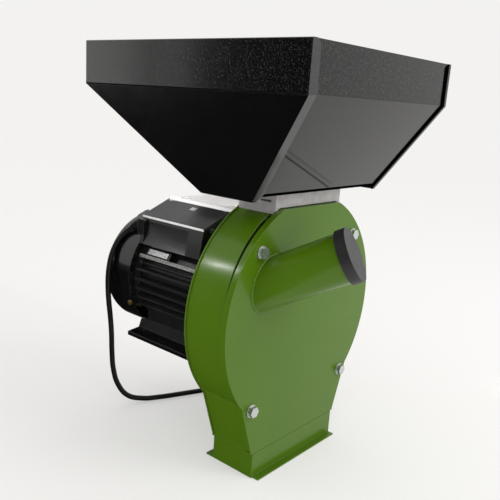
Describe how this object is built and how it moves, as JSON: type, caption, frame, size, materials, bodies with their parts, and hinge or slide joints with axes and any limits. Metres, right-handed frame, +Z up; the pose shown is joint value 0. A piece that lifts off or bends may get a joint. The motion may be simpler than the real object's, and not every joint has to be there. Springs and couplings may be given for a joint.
{
  "type": "hammer mill",
  "caption": "Electric hammer mill with a sheet hopper, round housing, slanted cob tube, bottom outlet and a foot-mounted finned motor.",
  "frame": {"origin": "centre of the motor foot's bolt pattern, on the underside of the foot", "axes": "+X to the right of someone facing the front cover, +Y back along the motor shaft, +Z up"},
  "size_m": [0.3124, 0.4277, 0.541],
  "materials": {
    "green_enamel": "gloss",
    "seal_rubber": "matte",
    "cap_plastic": "matte",
    "zinc_steel": "satin",
    "galvanised_sheet": "satin",
    "black_enamel": "gloss",
    "plain_steel": "satin",
    "bright_steel": "polished",
    "motor_black": "gloss",
    "brass_plate": "satin",
    "lamination_steel": "matte",
    "copper_winding": "gloss",
    "silver_plate": "satin",
    "fan_plastic": "matte",
    "box_plastic": "satin",
    "lid_grey": "satin",
    "capacitor_shell": "matte",
    "switch_chrome": "polished",
    "cord_rubber": "matte"
  },
  "bodies": {
    "root": {"housing_back_plate": "green_enamel", "housing_band": "green_enamel", "outlet_front_strip": "green_enamel", "front_cover": "green_enamel", "cover_seal": "seal_rubber", "feed_tube": "green_enamel", "cover_bolts": "zinc_steel", "cover_washers": "zinc_steel", "cover_sleeves": "zinc_steel", "cover_nuts": "zinc_steel", "neck_frame": "galvanised_sheet", "gate_rails": "galvanised_sheet", "hopper_left_panel": "black_enamel", "hopper_right_panel": "black_enamel", "hopper_front_panel": "black_enamel", "hopper_rear_panel": "black_enamel", "hopper_floor": "black_enamel", "hopper_bolts": "zinc_steel", "sieve": "plain_steel", "sieve_guides": "plain_steel", "motor_flange": "motor_black", "flange_bolts": "zinc_steel", "motor_frame": "motor_black", "motor_foot": "motor_black", "rear_shield": "motor_black", "shield_tie_rods": "motor_black", "fan_cowl": "motor_black", "cowl_screws": "brass_plate", "front_bearing": "bright_steel", "rear_bearing": "bright_steel", "stator_core": "lamination_steel", "stator_windings": "copper_winding", "nameplate": "silver_plate", "terminal_box": "box_plastic", "terminal_box_lid": "lid_grey", "lid_screws": "zinc_steel", "capacitor": "capacitor_shell", "terminal_block": "fan_plastic", "switch_body": "switch_chrome", "cable_gland": "box_plastic", "cord": "cord_rubber", "cord_coil": "cord_rubber", "plug": "cord_rubber"},
    "rotor": {"shaft": "bright_steel", "shaft_key": "bright_steel", "rotor_core": "lamination_steel", "cooling_fan": "fan_plastic", "rotor_hub": "plain_steel", "hammer_discs": "plain_steel", "hammer_pins": "bright_steel", "hammer_spacers": "plain_steel", "rotor_bolt": "zinc_steel"},
    "hammer_set_1": {"hammers_1": "plain_steel"},
    "hammer_set_2": {"hammers_2": "plain_steel"},
    "hammer_set_3": {"hammers_3": "plain_steel"},
    "hammer_set_4": {"hammers_4": "plain_steel"},
    "gate": {"slide_gate": "galvanised_sheet"},
    "cap": {"tube_cap": "cap_plastic"},
    "lever": {"switch_lever": "switch_chrome"},
    "button": {"reset_button": "switch_chrome"}
  },
  "joints": [
    {"name": "rotor_spin", "type": "hinge", "parent": "root", "child": "rotor", "pos_m": [0, 0, 0.09], "axis": [0, 1, 0], "continuous": true},
    {"name": "hammer_swing_1", "type": "hinge", "parent": "rotor", "child": "hammer_set_1", "pos_m": [0.05515, 0, 0.14515], "axis": [0, 1, 0], "continuous": true},
    {"name": "hammer_swing_2", "type": "hinge", "parent": "rotor", "child": "hammer_set_2", "pos_m": [-0.05515, 0, 0.14515], "axis": [0, 1, 0], "continuous": true},
    {"name": "hammer_swing_3", "type": "hinge", "parent": "rotor", "child": "hammer_set_3", "pos_m": [-0.05515, 0, 0.03485], "axis": [0, 1, 0], "continuous": true},
    {"name": "hammer_swing_4", "type": "hinge", "parent": "rotor", "child": "hammer_set_4", "pos_m": [0.05515, 0, 0.03485], "axis": [0, 1, 0], "continuous": true},
    {"name": "gate_slide", "type": "slide", "parent": "root", "child": "gate", "axis": [0, -1, 0], "range_m": [0, 0.057]},
    {"name": "cap_pull", "type": "slide", "parent": "root", "child": "cap", "axis": [0.3513, -0.8197, 0.4524], "range_m": [0, 0.04]},
    {"name": "switch_toggle", "type": "hinge", "parent": "root", "child": "lever", "pos_m": [-0.04894, -0.0592, 0.18129], "axis": [0.9265, 0, 0.3762], "range_deg": [0, 24]},
    {"name": "reset_press", "type": "slide", "parent": "root", "child": "button", "axis": [0, 1, 0], "range_m": [0, 0.0025], "stiffness_N_per_m": 300}
  ]
}
